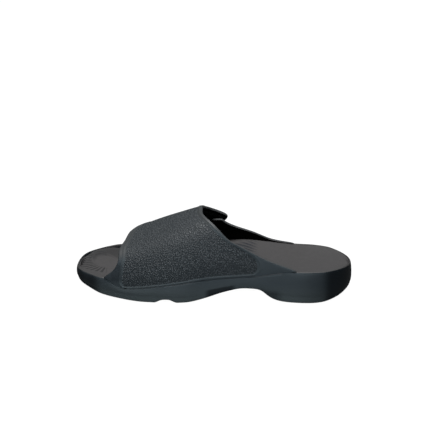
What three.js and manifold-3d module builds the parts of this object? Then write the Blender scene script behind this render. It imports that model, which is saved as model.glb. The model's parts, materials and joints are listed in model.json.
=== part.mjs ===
// Sport slide sandal for the right foot: a moulded foam sole with a contoured footbed in its tray,
// and a hook-and-loop strap over the instep. Millimetres, +Z up, toe towards -X, medial side towards -Y.
// Every wall follows one outline of the sole in plan, one rim line from the side and one arch over the foot.
import * as THREE from "three";
import { mergeVertices } from "three/addons/utils/BufferGeometryUtils.js";
import Module from "manifold-3d";

// Driving sizes of the sole
const soleLength = 285;
const ballWidth = 102;
const heelWidth = 72;
const toeHeight = 25;
const heelHeight = 36.5;
const toeSpring = 10;
const archHeight = 13.2;
const heelSpring = 9;
const notchDepth = 3.6;
const treadHeight = 8.5;
const treadStep = 1.2;
const edgeRound = 4.5;
const archTuck = 6;
const sideBulge = 0.8;
const rimRound = 1.2;
const rimWall = 2.2;

// Driving sizes of the footbed
const ballBed = 13;
const archBed = 33;
const heelBed = 30;
const heelCup = 5.5;
const trayDepth = 6.5;
const footbedRound = 1.2;

// Driving sizes of the straps
const vampHeight = 57;
const instepHeight = 84.6;
const strapWall = 3.4;
const frontBand = 5.5;
const rearBand = 3.6;
const bottomBand = 1.6;
const beadWidth = 1;
const beadHeight = 0.35;
const panelDepth = 0.5;
const stepRun = 0.7;
const edgeBevel = 0.8;
const tapeThickness = 1;
const joinWidth = 7;
const tapeInset = 3;

const clearance = 0.3;
const seamGap = 0.4;

// Plan outline: half widths on each side of the long axis, as shares of the local width,
// which is the ball width in front and the heel width behind.
const planRows = [
  { along: 0, medial: 0.04, lateral: -0.04 },
  { along: 0.014, medial: 0.185, lateral: 0.145 },
  { along: 0.05, medial: 0.28, lateral: 0.225 },
  { along: 0.1, medial: 0.382, lateral: 0.325 },
  { along: 0.17, medial: 0.431, lateral: 0.405 },
  { along: 0.25, medial: 0.451, lateral: 0.487 },
  { along: 0.335, medial: 0.456, lateral: 0.538 },
  { along: 0.41, medial: 0.442, lateral: 0.55 },
  { along: 0.474, medial: 0.415, lateral: 0.539 },
  { along: 0.544, medial: 0.405, lateral: 0.522 },
  { along: 0.614, medial: 0.415, lateral: 0.505 },
  { along: 0.684, medial: 0.449, lateral: 0.5 },
  { along: 0.754, medial: 0.487, lateral: 0.5 },
  { along: 0.825, medial: 0.5, lateral: 0.5 },
  { along: 0.9, medial: 0.465, lateral: 0.458 },
  { along: 0.95, medial: 0.354, lateral: 0.338 },
  { along: 0.985, medial: 0.2, lateral: 0.185 },
  { along: 1, medial: 0, lateral: 0 },
];

// Underside from the side: shares of the toe spring, the arch height and the heel spring.
const underRows = [
  { along: 0, toe: 1, arch: 0, heel: 0 },
  { along: 0.05, toe: 0.66, arch: 0, heel: 0 },
  { along: 0.11, toe: 0.42, arch: 0, heel: 0 },
  { along: 0.17, toe: 0.22, arch: 0, heel: 0 },
  { along: 0.225, toe: 0.05, arch: 0, heel: 0 },
  { along: 0.256, toe: 0, arch: 0, heel: 0 },
  { along: 0.408, toe: 0, arch: 0, heel: 0 },
  { along: 0.442, toe: 0, arch: 0.06, heel: 0 },
  { along: 0.484, toe: 0, arch: 0.22, heel: 0 },
  { along: 0.533, toe: 0, arch: 0.58, heel: 0 },
  { along: 0.575, toe: 0, arch: 0.85, heel: 0 },
  { along: 0.61, toe: 0, arch: 1, heel: 0 },
  { along: 0.65, toe: 0, arch: 0.98, heel: 0 },
  { along: 0.68, toe: 0, arch: 0.86, heel: 0 },
  { along: 0.697, toe: 0, arch: 0.5, heel: 0 },
  { along: 0.715, toe: 0, arch: 0.24, heel: 0 },
  { along: 0.745, toe: 0, arch: 0.07, heel: 0 },
  { along: 0.785, toe: 0, arch: 0, heel: 0 },
  { along: 0.865, toe: 0, arch: 0, heel: 0 },
  { along: 0.92, toe: 0, arch: 0, heel: 0.18 },
  { along: 0.965, toe: 0, arch: 0, heel: 0.52 },
  { along: 1, toe: 0, arch: 0, heel: 1 },
];

// Notch across the forefoot: its share of the notch depth at four corners.
const notchRows = [
  { along: 0.302, depth: 0 },
  { along: 0.32, depth: 1 },
  { along: 0.352, depth: 1 },
  { along: 0.374, depth: 0 },
];

// Height of the tread edge above the underside, as a share of the tread height, and how far the
// side is tucked in under the arch, as a share of the arch tuck.
const treadRows = [
  { along: 0, band: 0.5, tuck: 0.1 },
  { along: 0.1, band: 0.85, tuck: 0 },
  { along: 0.25, band: 1, tuck: 0 },
  { along: 0.42, band: 0.9, tuck: 0.1 },
  { along: 0.5, band: 0.5, tuck: 0.8 },
  { along: 0.58, band: 0.3, tuck: 1 },
  { along: 0.66, band: 0.3, tuck: 0.9 },
  { along: 0.72, band: 1, tuck: 0.3 },
  { along: 0.8, band: 1.1, tuck: 0 },
  { along: 0.92, band: 0.9, tuck: 0 },
  { along: 1, band: 0.6, tuck: 0.1 },
];

// Rim line of the sole on both sides, as shares of the toe height and of the heel height.
// Under the straps it is the seam where the upper stands on the sole.
const rimRows = [
  { along: 0, toe: 0.96, medialHeel: 0, lateralHeel: 0, lateralToe: 0.96 },
  { along: 0.05, toe: 0.97, medialHeel: 0, lateralHeel: 0, lateralToe: 1.1 },
  { along: 0.109, toe: 1, medialHeel: 0, lateralHeel: 0, lateralToe: 1.11 },
  { along: 0.133, toe: 0.9, medialHeel: 0, lateralHeel: 0, lateralToe: 1.12 },
  { along: 0.158, toe: 0.72, medialHeel: 0, lateralHeel: 0, lateralToe: 1.08 },
  { along: 0.182, toe: 0.64, medialHeel: 0, lateralHeel: 0, lateralToe: 1.0 },
  { along: 0.225, toe: 0.5, medialHeel: 0.1, lateralHeel: 0.1, lateralToe: 0.6 },
  { along: 0.28, toe: 0.2, medialHeel: 0.37, lateralHeel: 0.4, lateralToe: 0.2 },
  { along: 0.333, toe: 0, medialHeel: 0.57, lateralHeel: 0.57, lateralToe: 0 },
  { along: 0.39, toe: 0, medialHeel: 0.627, lateralHeel: 0.62, lateralToe: 0 },
  { along: 0.46, toe: 0, medialHeel: 0.705, lateralHeel: 0.69, lateralToe: 0 },
  { along: 0.533, toe: 0, medialHeel: 0.74, lateralHeel: 0.73, lateralToe: 0 },
  { along: 0.604, toe: 0, medialHeel: 0.767, lateralHeel: 0.77, lateralToe: 0 },
  { along: 0.65, toe: 0, medialHeel: 0.8, lateralHeel: 0.82, lateralToe: 0 },
  { along: 0.702, toe: 0, medialHeel: 0.877, lateralHeel: 0.9, lateralToe: 0 },
  { along: 0.758, toe: 0, medialHeel: 0.967, lateralHeel: 0.99, lateralToe: 0 },
  { along: 0.814, toe: 0, medialHeel: 1, lateralHeel: 1, lateralToe: 0 },
  { along: 0.91, toe: 0, medialHeel: 1, lateralHeel: 0.99, lateralToe: 0 },
  { along: 1, toe: 0, medialHeel: 0.96, lateralHeel: 0.96, lateralToe: 0 },
];

// Top of the footbed: the middle as shares of its heights at ball, arch and heel, and the rise of
// its medial and lateral edges above the middle as shares of the heel cup. The two sides meet at
// the tips, so their first two rows are alike, and their last three.
const bedRows = [
  { along: 0, ball: 1.5, arch: 0, heel: 0, medial: 0.75, lateral: 0.75 },
  { along: 0.02, ball: 1.44, arch: 0, heel: 0, medial: 0.75, lateral: 0.75 },
  { along: 0.05, ball: 1.36, arch: 0, heel: 0, medial: 1.08, lateral: 1.68 },
  { along: 0.1, ball: 1.25, arch: 0, heel: 0, medial: 1.25, lateral: 1.85 },
  { along: 0.2, ball: 1.08, arch: 0, heel: 0, medial: 0.8, lateral: 1 },
  { along: 0.315, ball: 1, arch: 0, heel: 0, medial: 0.55, lateral: 0.55 },
  { along: 0.4, ball: 0.86, arch: 0.13, heel: 0, medial: 0.7, lateral: 0.7 },
  { along: 0.47, ball: 0.54, arch: 0.42, heel: 0, medial: 0.9, lateral: 0.9 },
  { along: 0.545, ball: 0.16, arch: 0.79, heel: 0, medial: 1, lateral: 1 },
  { along: 0.615, ball: 0, arch: 0.98, heel: 0, medial: 1.05, lateral: 1.05 },
  { along: 0.685, ball: 0, arch: 1, heel: 0, medial: 0.95, lateral: 0.95 },
  { along: 0.755, ball: 0, arch: 0.5, heel: 0.51, medial: 0.88, lateral: 0.88 },
  { along: 0.84, ball: 0, arch: 0, heel: 1, medial: 1.08, lateral: 1.08 },
  { along: 0.93, ball: 0, arch: 0, heel: 1.03, medial: 0.88, lateral: 0.88 },
  { along: 1, ball: 0, arch: 0, heel: 1.1, medial: 0.25, lateral: 0.25 },
];

// Crown of the straps: its rise from the vamp height (0) to the instep height (1), and the
// fullness of the arch, where less is boxier.
const crownRows = [
  { along: 0.1, rise: -0.36, fullness: 0.46 },
  { along: 0.17, rise: -0.12, fullness: 0.5 },
  { along: 0.21, rise: 0, fullness: 0.54 },
  { along: 0.25, rise: 0.16, fullness: 0.58 },
  { along: 0.3, rise: 0.375, fullness: 0.64 },
  { along: 0.375, rise: 0.68, fullness: 0.7 },
  { along: 0.46, rise: 1, fullness: 0.74 },
  { along: 0.53, rise: 1.13, fullness: 0.74 },
  { along: 0.6, rise: 1.25, fullness: 0.74 },
  { along: 0.67, rise: 1.3, fullness: 0.74 },
  { along: 0.82, rise: 1.33, fullness: 0.74 },
];

// Edges of the medial strap and its flap, across the arch from the medial seam (0) over the crown
// (0.5) towards the lateral seam (1), as shares of the sole's length.
const strapRows = [
  { across: 0, front: 0.112, rear: 0.808 },
  { across: 0.039, front: 0.12, rear: 0.758 },
  { across: 0.064, front: 0.126, rear: 0.722 },
  { across: 0.09, front: 0.132, rear: 0.692 },
  { across: 0.138, front: 0.145, rear: 0.641 },
  { across: 0.175, front: 0.153, rear: 0.604 },
  { across: 0.205, front: 0.158, rear: 0.568 },
  { across: 0.254, front: 0.164, rear: 0.545 },
  { across: 0.309, front: 0.164, rear: 0.522 },
  { across: 0.368, front: 0.163, rear: 0.498 },
  { across: 0.422, front: 0.165, rear: 0.476 },
  { across: 0.5, front: 0.182, rear: 0.456 },
  { across: 0.58, front: 0.209, rear: 0.452 },
  { across: 0.715, front: 0.235, rear: 0.468 },
  { across: 0.782, front: 0.241, rear: 0.494 },
  { across: 0.81, front: 0.244, rear: 0.524 },
  { across: 0.825, front: 0.246, rear: 0.538 },
  { across: 0.85, front: 0.252, rear: 0.534 },
  { across: 0.875, front: 0.264, rear: 0.51 },
  { across: 0.895, front: 0.282, rear: 0.475 },
  { across: 0.91, front: 0.31, rear: 0.43 },
];

// Ends of the grained panel near the medial seam, as shares of the sole's length. Further up it runs
// beside the front band and the rear band, which is narrower low down.
const panelRows = [
  { across: 0, front: 0.192, rear: 0.645, band: 0.5 },
  { across: 0.02, front: 0.175, rear: 0.666, band: 0.5 },
  { across: 0.041, front: 0.171, rear: 0.677, band: 0.5 },
  { across: 0.063, front: 0.1705, rear: 0.676, band: 0.5 },
  { across: 0.09, front: 0.172, rear: 0.669, band: 0.5 },
  { across: 0.113, front: 0.1735, rear: 0.66, band: 0.5 },
  { across: 0.205, front: 0.1775, rear: 0.66, band: 0.5 },
  { across: 0.3, front: 0.18, rear: 0.66, band: 1 },
];

// Edges of the lateral strap, from its upper end under the flap down to the lateral seam.
const underStrapRows = [
  { across: 0.825, front: 0.27, rear: 0.519 },
  { across: 0.853, front: 0.255, rear: 0.5355 },
  { across: 0.888, front: 0.24, rear: 0.584 },
  { across: 0.913, front: 0.228, rear: 0.638 },
  { across: 0.955, front: 0.205, rear: 0.688 },
  { across: 0.98, front: 0.19, rear: 0.728 },
  { across: 1, front: 0.175, rear: 0.79 },
];

// Lift of the flap off the arch, as a share of its full lift over the lateral strap.
const liftRows = [
  { across: 0.68, lift: 0 },
  { across: 0.8, lift: 1 },
];

const wasm = await Module();
wasm.setup();

// Smooth curve through a table's rows that never overshoots them.
function follow(rows, input, output) {
  const xs = rows.map((row) => row[input]);
  const ys = rows.map((row) => row[output]);
  const secants = xs.slice(1).map((x, i) => (ys[i + 1] - ys[i]) / (x - xs[i]));
  const slopes = xs.map((x, i) => {
    const before = secants[Math.max(i - 1, 0)];
    const after = secants[Math.min(i, secants.length - 1)];
    return before * after <= 0 ? 0 : (2 * before * after) / (before + after);
  });
  return (at) => {
    let i = 0;
    while (i < xs.length - 2 && at > xs[i + 1]) i += 1;
    const span = xs[i + 1] - xs[i];
    const t = THREE.MathUtils.clamp((at - xs[i]) / span, 0, 1);
    const rest = 1 - t;
    const start = (1 + 2 * t) * rest * rest * ys[i] + t * rest * rest * span * slopes[i];
    const end = t * t * (3 - 2 * t) * ys[i + 1] - t * t * rest * span * slopes[i + 1];
    return start + end;
  };
}

// A table's curve by share of length, as a sum of named heights times their columns.
function blend(rows, heights) {
  const parts = Object.entries(heights).map(([column, height]) => {
    const share = follow(rows, "along", column);
    return (along) => share(along) * height;
  });
  return (along) => parts.reduce((sum, part) => sum + part(along), 0);
}

const turnOf = (along) => Math.acos(1 - 2 * THREE.MathUtils.clamp(along, 0, 1));
const xOf = (along) => (along - 0.5) * soleLength;
const alongOf = (x) => THREE.MathUtils.clamp(x / soleLength + 0.5, 0, 1);

const planByTurn = planRows.map((row) => ({ ...row, turn: turnOf(row.along) }));
const sides = {
  medial: { sign: -1, share: follow(planByTurn, "turn", "medial") },
  lateral: { sign: 1, share: follow(planByTurn, "turn", "lateral") },
};

// Point of the plan outline on one side, with the turn from toe (0) to heel (PI).
function outline(turn, side) {
  const along = (1 - Math.cos(turn)) / 2;
  const behind = THREE.MathUtils.smoothstep(along, 0.35, 0.8);
  const width = THREE.MathUtils.lerp(ballWidth, heelWidth, behind);
  const { sign, share } = sides[side];
  return new THREE.Vector2(xOf(along), sign * share(turn) * width);
}

// The outline moved inwards, square to itself. Both tips move straight along the foot.
function edge(along, side, inset) {
  const turn = turnOf(along);
  const here = outline(turn, side);
  if (along <= 0 || along >= 1) return here.setX(here.x + (along <= 0 ? inset : -inset));
  const small = Math.min(0.01, turn / 2, (Math.PI - turn) / 2);
  const way = outline(turn + small, side).sub(outline(turn - small, side)).normalize();
  const inwards = new THREE.Vector2(-way.y, way.x).multiplyScalar(-sides[side].sign);
  return here.addScaledVector(inwards, inset);
}

const notch = follow(notchRows, "along", "depth");
const bodyUnder = blend(underRows, { toe: toeSpring, arch: archHeight, heel: heelSpring });
const under = (along) => bodyUnder(along) + notch(along) * notchDepth;
const tread = blend(treadRows, { band: treadHeight });
const tuck = blend(treadRows, { tuck: archTuck });
const rim = {
  medial: blend(rimRows, { toe: toeHeight, medialHeel: heelHeight }),
  lateral: blend(rimRows, { lateralToe: toeHeight, lateralHeel: heelHeight }),
};
const bedMiddle = blend(bedRows, { ball: ballBed, arch: archBed, heel: heelBed });
const bedRise = {
  medial: blend(bedRows, { medial: heelCup }),
  lateral: blend(bedRows, { lateral: heelCup }),
};
const trayFloor = (along) => bedMiddle(along) - trayDepth;

// Width of the rim: as wide as the strap's wall where the straps stand on it, thinner beyond them.
function rimWidth(along) {
  const { lerp, smoothstep } = THREE.MathUtils;
  const open = 1 - smoothstep(along, 0.05, 0.1) + smoothstep(along, 0.82, 0.88);
  return sideBulge + lerp(strapWall, rimWall, open);
}

// Closed solid from points and triangles, with its faces turned outwards.
function solid(points, triangles) {
  const geometry = new THREE.BufferGeometry().setFromPoints(points);
  geometry.setIndex(triangles.flat());
  const merged = mergeVertices(geometry, 1e-3);
  const index = merged.index.array;
  const corners = merged.attributes.position.array;
  const at = (i) => new THREE.Vector3().fromArray(corners, 3 * i);
  let volume = 0;
  const kept = [];
  for (let i = 0; i < index.length; i += 3) {
    const [a, b, c] = index.slice(i, i + 3);
    if (a === b || b === c || a === c) continue;
    kept.push([a, b, c]);
    volume += at(a).dot(at(b).cross(at(c)));
  }
  const outwards = volume > 0 ? kept : kept.map(([a, b, c]) => [a, c, b]);
  const mesh = { numProp: 3, vertProperties: corners, triVerts: new Uint32Array(outwards.flat()) };
  return new wasm.Manifold(new wasm.Mesh(mesh));
}

// Solid skinned over closed sections that shrink to nothing at both ends.
function loft(sections) {
  const size = sections[0].length;
  const triangles = [];
  for (let row = 0; row < sections.length - 1; row += 1) {
    for (let i = 0; i < size; i += 1) {
      const next = (i + 1) % size;
      const [a, b] = [row * size + i, row * size + next];
      triangles.push([a, b, b + size], [a, b + size, a + size]);
    }
  }
  return solid(sections.flat(), triangles);
}

// Stations from toe to heel, closer at both tips, with the corners of the notch among them and two
// in each flat spot: in front of the notch, behind it and under the heel.
const stationCount = 60;
const evenStations = Array.from({ length: stationCount + 1 }, (_, i) => {
  return (1 - Math.cos((Math.PI * i) / stationCount)) / 2;
});
const corners = [0.264, 0.294, 0.381, 0.402, 0.795, 0.85, ...notchRows.map((row) => row.along)];
const clearOfCorners = (along) => corners.every((corner) => Math.abs(along - corner) > 0.006);
const stations = [...evenStations.filter(clearOfCorners), ...corners].sort((a, b) => a - b);

// Point at an inset from the outline. Its height may be a number or a function of the length.
function sidePoint(along, side, [inset, height]) {
  const { x, y } = edge(along, side, inset);
  return new THREE.Vector3(x, y, typeof height === "function" ? height(alongOf(x)) : height);
}

// Points between two points of a section, at the given shares.
function between(from, to, shares, height) {
  return shares.map((share) => {
    const point = from.clone().lerp(to, share);
    return point.setZ(height(alongOf(point.x), 2 * share - 1));
  });
}

// A closed section: one side wall, the top across, the other side wall and the bottom across.
function section(along, wall, topShares, topHeight, bottomShares, bottomHeight) {
  const medial = wall("medial").map((place) => sidePoint(along, "medial", place));
  const lateral = wall("lateral").map((place) => sidePoint(along, "lateral", place));
  const top = between(medial.at(-1), lateral.at(-1), topShares, topHeight);
  const bottom = between(lateral[0], medial[0], bottomShares, bottomHeight);
  return [...medial, ...top, ...lateral.reverse(), ...bottom];
}

// One foam moulding: stepped tread edge, swelling side, rim, and the tray that holds the footbed.
function makeSole() {
  const shares = [0.25, 0.5, 0.75];
  const openEnds = (along) => 1 - THREE.MathUtils.smoothstep(along, 0.1, 0.18)
    + THREE.MathUtils.smoothstep(along, 0.75, 0.82);
  return loft(stations.map((along) => {
    const wall = (side) => {
      const low = under(along);
      const step = bodyUnder(along) + tread(along);
      const top = rim[side](along);
      const round = rimRound * openEnds(along);
      const inner = rimWidth(along);
      return [
        [edgeRound + tuck(along), under],
        [0.35 * edgeRound + 0.5 * tuck(along), low + 0.3 * edgeRound],
        [treadStep + 0.1 * tuck(along), low + 0.5 * (step - low) + 0.2 * edgeRound],
        [treadStep, step],
        [0.2, step + 0.8 * treadStep],
        [0, 0.5 * (step + top)],
        [sideBulge, top - round],
        [sideBulge + round, top],
        [inner, top],
        [inner, trayFloor],
      ];
    };
    return section(along, wall, shares, trayFloor, shares, under);
  }));
}

const crownRise = follow(crownRows, "along", "rise");
const crown = (along) => THREE.MathUtils.lerp(vampHeight, instepHeight, crownRise(along));
const fullness = follow(crownRows, "along", "fullness");

// Outer face of the straps: an arch that stands on both rims.
function archPoint(along, across) {
  const turn = across * Math.PI;
  const side = across < 0.5 ? "medial" : "lateral";
  const foot = edge(along, side, sideBulge).y;
  const middle = (edge(along, "medial", 0).y + edge(along, "lateral", 0).y) / 2;
  const spread = Math.abs(Math.cos(turn)) ** fullness(along);
  const base = rim[side](along) + seamGap;
  const height = THREE.MathUtils.lerp(base, crown(along), Math.sin(turn));
  return new THREE.Vector3(xOf(along), THREE.MathUtils.lerp(middle, foot, spread), height);
}

const besideStraps = (along) => along > crownRows[0].along && along < crownRows.at(-1).along;

// How far the arch has come in from the outline at a height above the rim.
function archLean(along, side, height) {
  const base = rim[side](along) + seamGap;
  const rise = THREE.MathUtils.clamp((height - base) / (crown(along) - base), 0, 1);
  const width = edge(along, "lateral", 0).y - edge(along, "medial", 0).y;
  return (width / 2) * (1 - (1 - rise * rise) ** (fullness(along) / 2));
}

// Contoured block in the tray. Its edge stands against the rim, or against the straps above it,
// whose wall lies aslant and so reaches further in than their outer face does.
function makeFootbed() {
  const slant = 1.3;
  const across = [0.08, 0.2, 0.35, 0.5, 0.65, 0.8, 0.92];
  const dish = (along, aside) => {
    const rise = bedRise[aside < 0 ? "medial" : "lateral"](along);
    return bedMiddle(along) + rise * Math.abs(aside) ** 2.4;
  };
  return loft(stations.map((along) => {
    const wall = (side) => {
      const bottom = trayFloor(along) + clearance;
      const top = dish(along, sides[side].sign);
      const inner = rimWidth(along) + clearance;
      const lean = besideStraps(along) ? slant * archLean(along, side, top) : 0;
      return [
        [inner + footbedRound, (at) => trayFloor(at) + clearance],
        [inner + lean / 4, bottom + footbedRound],
        [inner + lean, top - footbedRound],
        [inner + lean + 0.3 * footbedRound, top - 0.3 * footbedRound],
        [inner + lean + footbedRound, top],
      ];
    };
    return section(along, wall, across, dish, [0.25, 0.5, 0.75], (at) => trayFloor(at) + clearance);
  }));
}

// Point off the outer face of the straps, square to it. A positive offset is outwards.
function strapPoint(along, across, offset) {
  const step = 0.002;
  const up = Math.min(across + step, 1);
  const down = Math.max(across - step, 0);
  const over = archPoint(along, up).sub(archPoint(along, down));
  const back = archPoint(along + step, across).sub(archPoint(along - step, across));
  const out = back.cross(over).normalize();
  return archPoint(along, across).addScaledVector(out, offset);
}

// Solid between two offsets of the straps' face. Each row of the grid lies across the arch at one
// share, with its columns given as shares of the sole's length.
function patch(rows, columns, low, high) {
  const width = columns(rows[0]).length;
  const face = (offset) => rows.flatMap((across) => {
    return columns(across).map((along, i) => strapPoint(along, across, offset(across, i, along)));
  });
  const points = [...face(high), ...face(low)];
  const lowFace = rows.length * width;
  const triangles = [];
  const quad = (a, b, c, d) => triangles.push([a, b, c], [a, c, d]);
  for (let row = 0; row < rows.length - 1; row += 1) {
    const start = row * width;
    for (let i = start; i < start + width - 1; i += 1) {
      quad(i, i + width, i + width + 1, i + 1);
      quad(lowFace + i, lowFace + i + 1, lowFace + i + width + 1, lowFace + i + width);
    }
    const end = start + width - 1;
    quad(start, lowFace + start, lowFace + start + width, start + width);
    quad(end, end + width, lowFace + end + width, lowFace + end);
  }
  const last = lowFace - width;
  for (let i = 0; i < width - 1; i += 1) {
    quad(i, i + 1, lowFace + i + 1, lowFace + i);
    quad(last + i, lowFace + last + i, lowFace + last + i + 1, last + i + 1);
  }
  return solid(points, triangles);
}

const strapFront = follow(strapRows, "across", "front");
const strapRear = follow(strapRows, "across", "rear");
const panelFront = follow(panelRows, "across", "front");
const panelRear = follow(panelRows, "across", "rear");
const bandShare = follow(panelRows, "across", "band");
const underStrapFront = follow(underStrapRows, "across", "front");
const underStrapRear = follow(underStrapRows, "across", "rear");
const share = (length) => length / soleLength;

// Share across the arch that a height above the seam takes up beside the instep.
function acrossOf(height) {
  const instep = underStrapRear(underStrapTop);
  return Math.asin(height / (crown(instep) - rim.medial(instep))) / Math.PI;
}

const flapLift = strapWall + 2 * tapeThickness + 3 * clearance;
const liftShare = follow(liftRows, "across", "lift");
const lift = (across) => flapLift * liftShare(across);
const flapEnd = strapRows.at(-1).across;
const underStrapTop = underStrapRows[0].across;
const endMargin = 0.006;

// Even shares between two values, both ends included.
function spread(from, to, count) {
  return Array.from({ length: count + 1 }, (_, i) => THREE.MathUtils.lerp(from, to, i / count));
}

// Medial strap with the grained panel let into it between smooth bands, inside a fine raised bead.
function makeMedialStrap() {
  const beadRow = acrossOf(bottomBand);
  const panelTop = 0.885;
  const rows = [
    0, acrossOf(bottomBand - beadWidth), beadRow, acrossOf(bottomBand + stepRun), 0.03, 0.055, 0.08,
    0.11, 0.145, 0.18, 0.215, 0.26, 0.31, 0.36, 0.405, 0.44, 0.465, 0.485, 0.5, 0.515, 0.535, 0.565,
    0.6, 0.645, 0.69, 0.73, 0.765, 0.797, 0.825, 0.852, panelTop - acrossOf(stepRun), panelTop,
    panelTop + acrossOf(beadWidth), flapEnd,
  ];
  const frontColumns = 3;
  const panelColumns = 11;
  const rearColumns = 5;
  const columns = (across) => {
    const front = strapFront(across);
    const rear = strapRear(across);
    const panelStart = Math.max(front + share(frontBand), panelFront(across));
    const panelEnd = Math.min(rear - share(rearBand * bandShare(across)), panelRear(across));
    return [
      front, ...spread(front + share(edgeBevel), panelStart - share(beadWidth), frontColumns), panelStart,
      ...spread(panelStart + share(stepRun), panelEnd - share(stepRun), panelColumns), panelEnd,
      ...spread(panelEnd + share(beadWidth), rear - share(edgeBevel), rearColumns), rear,
    ];
  };
  const frontBead = frontColumns + 2;
  const rearBead = frontBead + panelColumns + 2;
  const lastColumn = rearBead + rearColumns + 2;
  const raised = (across, column) => {
    if (column === 0 || column === lastColumn) return -edgeBevel / 2;
    if (across < beadRow || across > panelTop || column < frontBead || column > rearBead) return 0;
    const onBead = across === beadRow || across === panelTop || column === frontBead || column === rearBead;
    return onBead ? beadHeight : -panelDepth;
  };
  const high = (across, column) => lift(across) + raised(across, column);
  return patch(rows, columns, (across) => lift(across) - strapWall, high);
}

// Lateral strap, plain, with its upper end under the flap.
function makeLateralStrap() {
  const rows = [underStrapTop, 0.84, 0.86, 0.885, 0.91, 0.935, 0.96, 0.98, 1];
  const columns = (across) => {
    const front = underStrapFront(across);
    const rear = underStrapRear(across);
    return [front, ...spread(front + share(edgeBevel), rear - share(edgeBevel), 18), rear];
  };
  const lastColumn = columns(1).length - 1;
  const high = (across, column) => (column === 0 || column === lastColumn ? -edgeBevel / 2 : 0);
  return patch(rows, columns, () => -strapWall, high);
}

// The margin at the front of the crossing, where the two straps are pressed together.
function makeCrossing() {
  const rows = [underStrapTop + endMargin, 0.845, 0.86];
  const columns = (across) => spread(
    underStrapFront(across) + share(edgeBevel),
    underStrapFront(across) + share(joinWidth),
    2,
  );
  const inside = strapWall / 3;
  return patch(rows, columns, () => -inside, () => flapLift - strapWall + inside);
}

// Front edge of both tapes: behind the pressed margin, and straight where the strap's edge runs on.
function tapeFront(strapEdge) {
  const straightFrom = 0.262;
  return Math.max(strapEdge, straightFrom) + share(joinWidth + tapeInset);
}

// A tape of the closure on the straps' face, between its edges in front and behind.
function makeTape(rows, frontOf, rearOf, low) {
  const columns = (across) => spread(frontOf(across), rearOf(across), 5);
  return patch(rows, columns, low, (across) => low(across) + tapeThickness);
}

function makeHookTape() {
  const rows = [0.57, 0.6, 0.65, 0.69, 0.73, 0.765, 0.797, 0.83, 0.86, 0.88];
  const front = (across) => tapeFront(strapFront(across));
  const rear = (across) => strapRear(across) - share(rearBand);
  return makeTape(rows, front, rear, (across) => lift(across) - strapWall - clearance - tapeThickness);
}

function makeLoopTape() {
  const rows = [underStrapTop + endMargin, 0.85, 0.87, 0.89, 0.905];
  const front = (across) => tapeFront(underStrapFront(across));
  const rear = (across) => Math.min(underStrapRear(across), strapRear(across)) - share(rearBand);
  return makeTape(rows, front, rear, () => clearance);
}

// Mesh of a finished solid in its own material.
function piece(name, made, color, roughness) {
  const { numProp, vertProperties, triVerts } = made.getMesh();
  const geometry = new THREE.BufferGeometry();
  const corners = new THREE.BufferAttribute(new Float32Array(vertProperties), numProp);
  geometry.setAttribute("position", corners);
  geometry.setIndex(new THREE.BufferAttribute(new Uint32Array(triVerts), 1));
  geometry.computeVertexNormals();
  const material = new THREE.MeshStandardMaterial({ color, roughness, metalness: 0 });
  const mesh = new THREE.Mesh(geometry, material);
  mesh.name = name;
  return mesh;
}

// The origin is under the middle of the whole sandal, on the floor.
const pieces = new THREE.Group();
const sandal = new THREE.Group().add(pieces);
const upper = makeMedialStrap().add(makeLateralStrap()).add(makeCrossing());
pieces.add(piece("sole", makeSole(), 0x30363c, 0.75));
pieces.add(piece("footbed", makeFootbed(), 0x4c4a4a, 0.8));
pieces.add(piece("upper", upper, 0x373b3d, 0.7));
pieces.add(piece("hook_tape", makeHookTape(), 0x1c1f1e, 0.95));
pieces.add(piece("loop_tape", makeLoopTape(), 0x202322, 0.95));
const centre = new THREE.Box3().setFromObject(pieces).getCenter(new THREE.Vector3());
pieces.position.set(-centre.x, -centre.y, 0);

export default sandal;
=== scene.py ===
import json
import math

import bpy
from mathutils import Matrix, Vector

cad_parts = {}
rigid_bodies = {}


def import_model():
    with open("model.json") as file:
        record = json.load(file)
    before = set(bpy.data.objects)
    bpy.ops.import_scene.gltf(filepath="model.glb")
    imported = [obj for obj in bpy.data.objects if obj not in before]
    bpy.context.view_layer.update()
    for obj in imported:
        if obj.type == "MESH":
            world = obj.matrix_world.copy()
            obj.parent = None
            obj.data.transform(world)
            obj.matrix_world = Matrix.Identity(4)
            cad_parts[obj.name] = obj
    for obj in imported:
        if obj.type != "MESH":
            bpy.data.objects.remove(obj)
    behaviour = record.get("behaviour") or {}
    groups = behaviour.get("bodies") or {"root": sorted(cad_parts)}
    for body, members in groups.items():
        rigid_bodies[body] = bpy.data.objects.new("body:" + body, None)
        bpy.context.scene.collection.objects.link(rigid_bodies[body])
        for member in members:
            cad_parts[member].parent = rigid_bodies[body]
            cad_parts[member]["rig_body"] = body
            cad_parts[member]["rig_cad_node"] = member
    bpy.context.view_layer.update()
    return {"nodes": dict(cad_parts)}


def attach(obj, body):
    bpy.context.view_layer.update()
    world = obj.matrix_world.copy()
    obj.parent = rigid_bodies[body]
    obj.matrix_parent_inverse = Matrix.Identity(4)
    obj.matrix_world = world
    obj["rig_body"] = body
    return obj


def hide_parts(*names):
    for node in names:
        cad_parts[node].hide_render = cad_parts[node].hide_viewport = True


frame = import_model()

# Camera: a long lens in front of the medial side, a little above it and turned towards the heel.
# The photograph's frame is square, and the sandal's floor point lies below its middle.
frame_pixels = 430
pixels_per_metre = 961
view_azimuth = math.radians(4.5)
view_elevation = math.radians(25)
view_distance = 3.0
floor_point = (214.4, 283.7)

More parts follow.
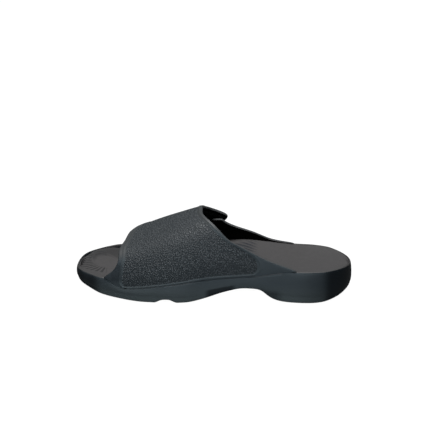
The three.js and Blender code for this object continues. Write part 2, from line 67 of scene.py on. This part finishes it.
right = Vector((math.cos(view_azimuth), math.sin(view_azimuth), 0))
back = Vector((
    math.sin(view_azimuth) * math.cos(view_elevation),
    -math.cos(view_azimuth) * math.cos(view_elevation),
    math.sin(view_elevation),
))
upwards = back.cross(right)
aim = (
    right * (frame_pixels / 2 - floor_point[0])
    + upwards * (floor_point[1] - frame_pixels / 2)
) / pixels_per_metre
bpy.ops.object.camera_add(location=aim + back * view_distance)
camera = bpy.context.object
camera.rotation_euler = back.to_track_quat("Z", "Y").to_euler()
camera.data.sensor_width = 36
camera.data.lens = 36 * view_distance * pixels_per_metre / frame_pixels
bpy.context.scene.camera = camera

# Studio: a dim sky that is pale behind the sandal, a broad soft lamp overhead and a weaker one in
# front, so that the tops are light, the near side is a little lit and both ends stay dark.
bpy.context.scene.view_settings.view_transform = "Standard"
sky = bpy.data.worlds.new("studio sky")
bpy.context.scene.world = sky
sky.use_nodes = True


def soft_lamp(name, place, size, power, colour):
    bpy.ops.object.light_add(type="AREA", location=place)
    lamp = bpy.context.object
    lamp.name = name
    lamp.data.size = size
    lamp.data.energy = power
    lamp.data.color = colour
    lamp.rotation_euler = Vector(place).to_track_quat("Z", "Y").to_euler()


soft_lamp("top lamp", (-0.06, 0.0, 1.4), size=0.5, power=26, colour=(1, 1, 1))
soft_lamp("front lamp", (0.02, -0.7, 0.02), size=0.2, power=2.9, colour=(0.78, 0.92, 1))


# One small class writes shader maths as Python expressions.
class Shade:
    def __init__(self, tree, socket):
        self.tree = tree
        self.socket = socket

    def node(self, kind, settings=None, **values):
        made = self.tree.nodes.new(kind)
        for key, setting in (settings or {}).items():
            setattr(made, key, setting)
        for key, value in values.items():
            name = key.replace("_", " ")
            socket = made.inputs[name] if name in made.inputs else made.inputs[int(key[1:])]
            self.feed(socket, value)
        return made

    def feed(self, socket, value):
        if isinstance(value, Shade):
            self.tree.links.new(value.socket, socket)
        elif isinstance(value, tuple) and len(value) == 3 and len(socket.default_value) == 4:
            socket.default_value = (*value, 1)
        else:
            socket.default_value = value

    def maths(self, operation, first, second=0.0):
        made = self.node("ShaderNodeMath", {"operation": operation}, i0=first, i1=second)
        return Shade(self.tree, made.outputs[0])

    def __add__(self, other):
        return self.maths("ADD", self, other)

    def __sub__(self, other):
        return self.maths("SUBTRACT", self, other)

    def __rsub__(self, other):
        return self.maths("SUBTRACT", other, self)

    def __mul__(self, other):
        return self.maths("MULTIPLY", self, other)

    def __pow__(self, other):
        return self.maths("POWER", self, other)

    __radd__ = __add__
    __rmul__ = __mul__

    def wave(self):
        return self.maths("SINE", self)

    def ramp(self, low, high):
        made = self.node(
            "ShaderNodeMapRange", {"interpolation_type": "SMOOTHSTEP"},
            Value=self, From_Min=low, From_Max=high,
        )
        return Shade(self.tree, made.outputs[0])

    def band(self, low, high, soft):
        return self.ramp(low - soft, low) * (1 - self.ramp(high, high + soft))

    def mix(self, low, high):
        made = self.node("ShaderNodeMix", {"data_type": "RGBA"}, i0=self, i6=low, i7=high)
        return Shade(self.tree, made.outputs[2])

    def split(self):
        made = self.node("ShaderNodeSeparateXYZ", Vector=self)
        return [Shade(self.tree, output) for output in made.outputs]


def new_finish(name):
    """A material with its shader, and the object's own coordinates to start a pattern from."""
    material = bpy.data.materials.new(name)
    material.use_nodes = True
    tree = material.node_tree
    shader = tree.nodes["Principled BSDF"]
    place = Shade(tree, tree.nodes.new("ShaderNodeTexCoord").outputs["Object"])
    return material, shader, place


# Sky: dim all round, and brighter in a soft patch on the side behind the sandal.
sky_nodes = sky.node_tree.nodes
direction = Shade(sky.node_tree, sky_nodes.new("ShaderNodeTexCoord").outputs["Generated"])
backdrop = sky_nodes["Background"]
backdrop.inputs["Color"].default_value = (0.85, 0.95, 1, 1)
direction.feed(backdrop.inputs["Strength"], direction.split()[1].ramp(0.6, 0.95) * 0.3 + 0.015)

# Floor: the plain white sweep that the sandal stands on, bright enough to hold no shadow. It lights
# the sandal from below much less than it shows in the picture, as a matte sweep further off would.
bpy.ops.mesh.primitive_plane_add(size=8, location=(0, 0, 0))
floor = bpy.context.object
floor.name = "floor"
floor_finish, floor_shader = new_finish("pale floor")[:2]
floor_shader.inputs["Base Color"].default_value = (0.04, 0.04, 0.04, 1)
floor_shader.inputs["Roughness"].default_value = 0.9
floor_shader.inputs["Emission Color"].default_value = (1, 1, 1, 1)
light_path = floor_finish.node_tree.nodes.new("ShaderNodeLightPath")
seen = Shade(floor_finish.node_tree, light_path.outputs["Is Camera Ray"])
floor_light = 0.08
seen.feed(floor_shader.inputs["Emission Strength"], seen * (1 - floor_light) + floor_light)
floor.data.materials.append(floor_finish)


# Sole: one moulding of closed-cell foam, charcoal with a blue cast and a satin skin from the mould.
# Its rim is sharp where the strap is moulded onto it, and rounded at the toe and the heel.
corner_gap = 2e-6
moulded_gap = 0.0006


def joined_copy(node, name):
    """A node's mesh under a new name, its corners joined and its triangles paired into quads."""
    bpy.ops.object.select_all(action="DESELECT")
    source = frame["nodes"][node]
    source.select_set(True)
    bpy.context.view_layer.objects.active = source
    bpy.ops.object.duplicate()
    copy = bpy.context.object
    copy.name = name
    copy.parent = None
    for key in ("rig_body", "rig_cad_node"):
        if key in copy:
            del copy[key]
    copy.data = copy.data.copy()
    copy.data.materials.clear()
    bpy.ops.object.mode_set(mode="EDIT")
    bpy.ops.mesh.select_mode(type="VERT")
    bpy.ops.mesh.select_all(action="SELECT")
    bpy.ops.mesh.remove_doubles(threshold=corner_gap)
    bpy.ops.mesh.tris_convert_to_quads(
        face_threshold=math.radians(25), shape_threshold=math.radians(60))
    bpy.ops.mesh.select_all(action="DESELECT")
    bpy.ops.object.mode_set(mode="OBJECT")
    return copy


def pick_near(piece, other, reach):
    """Selects the vertices of a piece that lie within reach of another object's surface."""
    for vertex in piece.data.vertices:
        vertex.select = other.closest_point_on_mesh(vertex.co, distance=reach)[0]


def rounded(piece, node, levels):
    """Rounds a piece as a moulding is, and lets it stand for its node."""
    bpy.context.view_layer.objects.active = piece
    rounding = piece.modifiers.new("rounding", "SUBSURF")
    rounding.levels = rounding.render_levels = levels
    bpy.ops.object.modifier_apply(modifier=rounding.name)
    bpy.ops.object.shade_smooth()
    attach(piece, "root")
    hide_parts(node)


def noise(place, scale, detail=3, roughness=0.5):
    made = place.node(
        "ShaderNodeTexNoise", Vector=place, Scale=scale, Detail=detail, Roughness=roughness)
    return Shade(place.tree, made.outputs[0])


def bump(place, height, depth):
    made = place.node("ShaderNodeBump", Height=height, Distance=depth, Strength=1.0)
    return Shade(place.tree, made.outputs[0])


def foam_finish(name, dark, light, top, roughness, skin_depth):
    """Moulded foam, cloudy, with painted light and shade: the top colour where it faces up, paler
    towards the bottom edge, and painted shade where the sides turn to the tips, towards the heel's
    end, beside both ends of the arch and at the front of the strap."""
    material, shader, place = new_finish(name)
    clouds = noise(place, 30, 4).ramp(0.3, 0.7)
    skin = noise(place, 1400, 2)
    normal = Shade(place.tree, place.tree.nodes.new("ShaderNodeTexCoord").outputs["Normal"])
    along, _, level = normal.split()
    # Painted shade: the colour is darkened almost to black where the sides turn to the tips,
    # towards the heel's end, beside both ends of the arch and at the front of the strap.
    painted_shade_at_tips = ((along + 0.06) * (along + 0.06)).band(0.40, 0.80, 0.34) * 0.92
    x, y, z = place.split()
    painted_shade_at_heel = x.ramp(0.080, 0.128) * 0.6
    painted_shade_arch_front = (x * 0.17 + 0.0166 - z).ramp(0, 0.002) * x.band(-0.001, 0.020, 0.007) * 0.9
    painted_shade_arch_rear = x.band(0.054, 0.064, 0.012) * (1 - z.ramp(0.010, 0.018)) * 0.6
    painted_shade_strap_front = x.band(-0.100, -0.093, 0.005) * z.band(0.026, 0.038, 0.006) * 0.55
    outside_painted_shade = (1 - painted_shade_at_tips) * (1 - painted_shade_at_heel) * (1 - painted_shade_arch_front) * (1 - painted_shade_arch_rear) * (1 - painted_shade_strap_front)
    # Painted light from below: the colour turns paler and greyer towards the bottom edge.
    painted_light_from_below = (1 - z.ramp(0.005, 0.027)) * 0.85
    painted_underlight_colour, painted_shade_colour = (0.080, 0.092, 0.093), (0.003, 0.006, 0.009)
    # Painted light and shade on tops: the top colour where the surface faces up, and on the lateral
    # side on steeper faces as well.
    lateral = y.ramp(-0.03, -0.01)
    painted_top_shading = (level + lateral * 0.35).ramp(0.5, 0.85)
    colour = painted_light_from_below.mix(clouds.mix(dark, light), painted_underlight_colour)
    colour = outside_painted_shade.mix(painted_shade_colour, colour)
    place.feed(shader.inputs["Base Color"], painted_top_shading.mix(colour, top))
    place.feed(shader.inputs["Roughness"], clouds * 0.08 + roughness)
    shader.inputs["Specular IOR Level"].default_value = 0.3
    place.feed(shader.inputs["Normal"], bump(place, skin, skin_depth))
    return material


sole = joined_copy("sole", "sole_moulding")
pick_near(sole, frame["nodes"]["upper"], moulded_gap)
bpy.ops.object.mode_set(mode="EDIT")
bpy.ops.transform.edge_crease(value=1)
bpy.ops.object.mode_set(mode="OBJECT")
rounded(sole, "sole", 2)
sole.data.materials.append(
    foam_finish(
        "sole foam", (0.036, 0.045, 0.052), (0.042, 0.051, 0.058), (0.050, 0.049, 0.049),
        roughness=0.5, skin_depth=0.00004))


# Footbed: a softer foam block, warm dark grey and quite matte, lying in the sole's tray. Under the
# toes it is hollowed, with short grip ridges round the front, and the arch has fine grip grooves;
# their shade and the shadow at the hollow's far edge are painted dark.
# Its soft edge presses against the rim and the straps, so that no gap is left beside it.
def footbed_finish():
    material, shader, place = new_finish("footbed foam")
    x, y, _ = place.split()
    painted_groove_shade_colour = (0.009, 0.013, 0.019)
    painted_ridge_shade_colour = (0.011, 0.012, 0.013)
    hollow_centre, hollow_size = (-0.112, 0.0055), (0.029, 0.0175)
    forward = (hollow_centre[0] - x) * (1 / hollow_size[0])
    aside = (y - hollow_centre[1]) * (1 / hollow_size[1])
    reach = (forward * forward + aside * aside) ** 0.5
    inside = 1 - reach.ramp(0.45, 0.55)
    # Painted shade: the toe's grip ridges are coloured dark, and a painted shadow lies along the
    # hollow's far edge and beyond it towards the far rim.
    angle = aside.maths("ARCTAN2", aside, forward)
    ridges_and_painted_shade = (angle * 38).wave().ramp(-0.1, 0.6)
    ridges_and_painted_shade = ridges_and_painted_shade * reach.band(0.66, 1.2, 0.12) * angle.band(-1.5, 0.4, 0.15)
    painted_hollow_edge_shadow = reach.band(0.45, 0.58, 0.08) * angle.band(0.1, 1.3, 0.3)
    painted_far_rim_shadow = reach.ramp(0.5, 0.65) * aside.ramp(0.1, 0.4) * forward.band(-0.5, 0.5, 0.2)
    # Painted shade: the arch's grip grooves are coloured dark, and the patch named shade darkens
    # the area round them.
    grooves_and_painted_shade = ((y + x * 0.6) * 1500).wave().ramp(-0.2, 0.6)
    grooves_and_painted_shade = grooves_and_painted_shade * x.band(0.020, 0.036, 0.010) * y.band(0.006, 0.024, 0.006)
    shade = x.band(0.024, 0.030, 0.012) * y.band(0.010, 0.020, 0.010)
    clouds = noise(place, 26, 4).ramp(0.3, 0.7)
    mottle = noise(place, 260, 3).ramp(0.35, 0.65)
    colour = clouds.mix((0.042, 0.040, 0.041), (0.048, 0.046, 0.047))
    colour = (mottle * 0.35).mix(colour, (0.037, 0.036, 0.037))
    painted_toe_shade = ridges_and_painted_shade * 0.8 + painted_hollow_edge_shadow * 0.4 + painted_far_rim_shadow * 0.6
    colour = painted_toe_shade.mix(colour, painted_ridge_shade_colour)
    colour = (grooves_and_painted_shade * 0.75 + shade * 0.25).mix(colour, painted_groove_shade_colour)
    place.feed(shader.inputs["Base Color"], colour)
    place.feed(shader.inputs["Roughness"], clouds * 0.06 + 0.78)
    skin = noise(place, 900, 3) * 0.00012
    height = skin - inside * 0.0004 + ridges_and_painted_shade * 0.0005 - grooves_and_painted_shade * 0.0006
    place.feed(shader.inputs["Normal"], bump(place, height, 1.0))
    return material


rim_reach, rim_swell, rim_lift = 0.0018, (1.004, 1.012, 1), 0.0005
strap_reach, strap_swell = 0.0025, (1, 1.03, 1)

footbed = joined_copy("footbed", "footbed_moulding")
pick_near(footbed, sole, rim_reach)
bpy.ops.object.mode_set(mode="EDIT")
bpy.ops.transform.resize(value=rim_swell, center_override=(0, 0, 0))
bpy.ops.transform.translate(value=(0, 0, rim_lift))
bpy.ops.object.mode_set(mode="OBJECT")
pick_near(footbed, frame["nodes"]["upper"], strap_reach)
bpy.ops.object.mode_set(mode="EDIT")
bpy.ops.transform.resize(value=strap_swell, center_override=(0, 0, 0))
bpy.ops.object.mode_set(mode="OBJECT")
rounded(footbed, "footbed", 2)
footbed.data.materials.append(footbed_finish())


# Strap: charcoal foam of one piece with the sole's sides, so that no seam shows between them. The
# panel is let in between smooth bands, inside a fine raised bead, and pebbled all over.
def pebble_finish():
    material, shader, place = new_finish("pebbled strap foam")
    pebbles = place.node("ShaderNodeTexVoronoi", Vector=place, Scale=580, Randomness=0.7)
    gaps = Shade(place.tree, pebbles.outputs["Distance"]).ramp(0.3, 0.65)
    patches = noise(place, 300, 3).ramp(0.35, 0.65)
    clouds = noise(place, 24, 4).ramp(0.3, 0.7)
    colour = clouds.mix((0.030, 0.036, 0.041), (0.035, 0.041, 0.046))
    colour = (gaps * 0.85).mix(colour, (0.007, 0.011, 0.014))
    colour = (patches * 0.2).mix(colour, (0.048, 0.054, 0.058))
    place.feed(shader.inputs["Base Color"], colour)
    place.feed(shader.inputs["Roughness"], gaps * 0.2 + 0.5)
    height = (1 - gaps) * 0.00045 + patches * 0.0001
    place.feed(shader.inputs["Normal"], bump(place, height, 1.0))
    return material


def lining_finish():
    material, shader, place = new_finish("black lining")
    knit = noise(place, 1500, 2)
    colour = knit.mix((0.0012, 0.0016, 0.0015), (0.0035, 0.0042, 0.004))
    place.feed(shader.inputs["Base Color"], colour)
    shader.inputs["Roughness"].default_value = 0.95
    shader.inputs["Specular IOR Level"].default_value = 0.15
    place.feed(shader.inputs["Normal"], bump(place, knit, 0.0001))
    return material


panel_slot, lining_slot, bead_slot, painted_light_footbed_slot = 1, 2, 3, 4
sink = 0.0012
panel_border = math.radians(28)
panel_point = (-0.02, -0.06, 0.045)
foot_height = 0.025
lining_end = 0.056

strap = joined_copy("upper", "strap_moulding")
strap.data.materials.append(
    foam_finish(
        "strap foam", (0.036, 0.045, 0.052), (0.042, 0.051, 0.058), (0.043, 0.046, 0.048),
        roughness=0.5, skin_depth=0.00004))
strap.data.materials.append(pebble_finish())
strap.data.materials.append(lining_finish())
# The bead's finish is paler than the strap's foam, a painted highlight along the bead, and darker
# where it faces up.
strap.data.materials.append(
    foam_finish(
        "bead foam painted highlight", (0.046, 0.056, 0.062), (0.052, 0.062, 0.068), (0.034, 0.038, 0.040),
        roughness=0.6, skin_depth=0.00002))
# The footbed's finish, also put on the strap's inner tail as painted light.
strap.data.materials.append(footbed.data.materials[0])

# The strap's foot is sunk into the sole, and the panel's sharp border becomes a seam.
pick_near(strap, sole, moulded_gap)
bpy.context.view_layer.objects.active = strap
bpy.ops.object.mode_set(mode="EDIT")
bpy.ops.transform.translate(value=(0, 0, -sink))
bpy.ops.mesh.select_mode(type="EDGE")
bpy.ops.mesh.select_all(action="DESELECT")
bpy.ops.mesh.edges_select_sharp(sharpness=panel_border)
bpy.ops.mesh.mark_seam()
bpy.ops.mesh.select_all(action="DESELECT")
bpy.ops.mesh.select_mode(type="FACE")
bpy.ops.object.mode_set(mode="OBJECT")

# The panel is all that its seam encloses, and the bead is the two rows of faces round it.
panel_face = strap.closest_point_on_mesh(panel_point)[3]
strap.data.polygons[panel_face].select = True
bpy.ops.object.mode_set(mode="EDIT")
bpy.ops.mesh.select_linked(delimit={"SEAM"})
strap.active_material_index = panel_slot
bpy.ops.object.material_slot_assign()
bpy.ops.mesh.select_more()
bpy.ops.mesh.select_more()
bpy.ops.object.material_slot_deselect()
strap.active_material_index = bead_slot
bpy.ops.object.material_slot_assign()
bpy.ops.object.mode_set(mode="OBJECT")

# Faces that look towards the foot are lined, and behind the lining they take the paler footbed
# finish as painted light on the strap's inner side.
for face in strap.data.polygons:
    inwards = Vector((0, -face.center.y, foot_height - face.center.z)).normalized()
    if face.normal.dot(inwards) > 0.5:
        face.material_index = lining_slot if face.center.x < lining_end else painted_light_footbed_slot
rounded(strap, "upper", 2)


# Hook tape and loop tape: black woven strips, sewn inside the flap and outside the strap under it.
# Their nap is a dense felt of hooks or loops that catches a little light.
def nap_finish(name, dark, light):
    material, shader, place = new_finish(name)
    nap = noise(place, 700, 3, 0.7).ramp(0.35, 0.7)
    tufts = noise(place, 260, 2).ramp(0.4, 0.7)
    place.feed(shader.inputs["Base Color"], (nap * tufts).mix(dark, light))
    place.feed(shader.inputs["Roughness"], nap * 0.1 + 0.85)
    place.feed(shader.inputs["Normal"], bump(place, nap, 0.0004))
    return material


hook_nap = nap_finish("hook nap", (0.004, 0.006, 0.005), (0.035, 0.045, 0.040))
hook_tape = joined_copy("hook_tape", "hook_tape_nap")
rounded(hook_tape, "hook_tape", 1)
hook_tape.data.materials.append(hook_nap)

loop_nap = nap_finish("loop nap", (0.005, 0.006, 0.006), (0.020, 0.024, 0.022))
loop_tape = joined_copy("loop_tape", "loop_tape_nap")
rounded(loop_tape, "loop_tape", 1)
loop_tape.data.materials.append(loop_nap)
